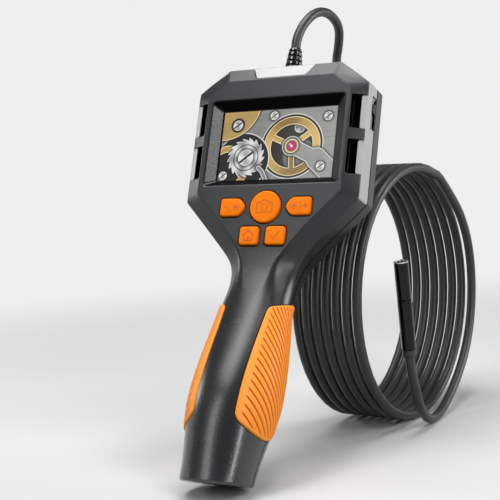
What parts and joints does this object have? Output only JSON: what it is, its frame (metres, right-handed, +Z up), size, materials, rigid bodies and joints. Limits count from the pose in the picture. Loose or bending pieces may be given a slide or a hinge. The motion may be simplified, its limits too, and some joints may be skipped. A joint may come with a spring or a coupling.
{
  "type": "inspection camera",
  "caption": "Handheld inspection camera with a screen head on a leaning ribbed grip, push buttons, a slide switch and a probe on a long coiled cable.",
  "frame": {"origin": "on the floor under the middle of the camera body, which leans back on its coil of cable", "axes": "+Z up from the floor; -Y towards the user who faces the screen; +X to the user's right"},
  "size_m": [0.1161, 0.2615, 0.244],
  "materials": {
    "charcoal_plastic": "fine spark-eroded texture",
    "light_grey_plastic": "satin",
    "orange_rubber": "soft-touch",
    "clear_window": "clear hard-coated",
    "black_rubber": "satin moulded",
    "display_panel": "lit panel",
    "circuit_board": "solder mask",
    "zinc_steel": "zinc plated",
    "cell_wrap": "shrink wrap over the can",
    "cable_jacket": "semi-gloss jacket",
    "gloss_gunmetal": "polished dark plating",
    "lamp_ring": "lamps under a clear ring",
    "lens_glass": "coated lens"
  },
  "bodies": {
    "camera": {"front_shell": "charcoal_plastic", "side_frame": "light_grey_plastic", "back_shell": "charcoal_plastic", "grip_left": "orange_rubber", "grip_right": "orange_rubber", "display_window": "clear_window", "display_gasket": "black_rubber", "display_panel": "display_panel", "main_board": "circuit_board", "keypad_mat": "black_rubber", "power_switch": "zinc_steel", "usb_socket": "zinc_steel", "card_socket": "zinc_steel", "battery_cell": "cell_wrap", "case_screw_1": "zinc_steel", "case_screw_2": "zinc_steel", "case_screw_3": "zinc_steel", "case_screw_4": "zinc_steel", "case_screw_5": "zinc_steel", "case_screw_6": "zinc_steel", "strain_relief": "black_rubber", "cable_lead": "cable_jacket", "cable_coil": "cable_jacket", "cable_tail": "cable_jacket", "probe_collar": "cable_jacket", "probe_sleeve": "gloss_gunmetal", "probe_cap": "gloss_gunmetal", "lamp_ring": "lamp_ring", "probe_lens": "lens_glass"},
    "capture": {"button_capture": "orange_rubber"},
    "dimmer": {"button_dimmer": "orange_rubber"},
    "brighter": {"button_brighter": "orange_rubber"},
    "home": {"button_home": "orange_rubber"},
    "confirm": {"button_confirm": "orange_rubber"},
    "power": {"power_slider": "charcoal_plastic"}
  },
  "joints": [
    {"name": "press_capture", "type": "slide", "parent": "camera", "child": "capture", "axis": [0, 0.9304, -0.3665], "range_m": [0, 0.0008], "stiffness_N_per_m": 1500},
    {"name": "press_dimmer", "type": "slide", "parent": "camera", "child": "dimmer", "axis": [0, 0.9304, -0.3665], "range_m": [0, 0.0008], "stiffness_N_per_m": 1500},
    {"name": "press_brighter", "type": "slide", "parent": "camera", "child": "brighter", "axis": [0, 0.9304, -0.3665], "range_m": [0, 0.0008], "stiffness_N_per_m": 1500},
    {"name": "press_home", "type": "slide", "parent": "camera", "child": "home", "axis": [0, 0.9304, -0.3665], "range_m": [0, 0.0008], "stiffness_N_per_m": 1500},
    {"name": "press_confirm", "type": "slide", "parent": "camera", "child": "confirm", "axis": [0, 0.9304, -0.3665], "range_m": [0, 0.0008], "stiffness_N_per_m": 1500},
    {"name": "slide_power", "type": "slide", "parent": "camera", "child": "power", "axis": [0, 0.3665, 0.9304], "range_m": [-0.005, 0]}
  ]
}
